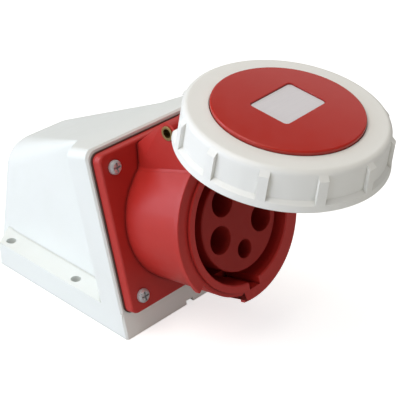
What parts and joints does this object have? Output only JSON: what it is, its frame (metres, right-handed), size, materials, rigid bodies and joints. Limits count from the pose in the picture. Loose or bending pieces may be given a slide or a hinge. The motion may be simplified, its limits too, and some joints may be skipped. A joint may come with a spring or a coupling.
{
  "type": "industrial wall socket",
  "caption": "Wall-mounted round power socket with a sloping box, a red sleeve with contact openings, a hinged lid and a bayonet locking ring.",
  "frame": {"origin": "centre of the four wall holes, on the wall face", "axes": "+Z away from the wall, -Y towards the side that the socket faces, +X to the right seen from the front"},
  "size_m": [0.1004, 0.2327, 0.1411],
  "materials": {
    "white_housing": "satin moulded plastic",
    "white_ring": "satin moulded plastic",
    "red_moulding": "semi-gloss moulded plastic",
    "red_carrier": "matt moulded plastic",
    "rubber": "matt",
    "zinc_screw": "zinc plated",
    "brass": "turned",
    "grey_plug": "satin moulded plastic"
  },
  "bodies": {
    "base": {"housing": "white_housing", "flange_gasket": "rubber", "socket_body": "red_moulding", "flange_screws": "zinc_screw", "contact_carrier": "red_carrier", "terminal_block": "red_carrier", "contact_l1": "brass", "contact_l2": "brass", "contact_l3": "brass", "contact_n": "brass", "contact_pe": "brass", "terminal_screws": "zinc_screw", "carrier_screws": "zinc_screw", "block_screw": "zinc_screw", "hinge_pin": "brass", "entry_plug": "grey_plug", "entry_seal": "rubber"},
    "lid": {"lid_body": "red_moulding", "lid_cover": "red_moulding", "lid_gasket": "rubber"},
    "ring": {"bayonet_ring": "white_ring"}
  },
  "joints": [
    {"name": "lid_hinge", "type": "hinge", "parent": "base", "child": "lid", "pos_m": [0, -0.07611, 0.11132], "axis": [-1, 0, 0], "range_deg": [-67.1, 40]},
    {"name": "ring_turn", "type": "hinge", "parent": "lid", "child": "ring", "pos_m": [0, -0.13026, 0.13456], "axis": [0, 0.1323, -0.9912], "range_deg": [0, 30]}
  ]
}
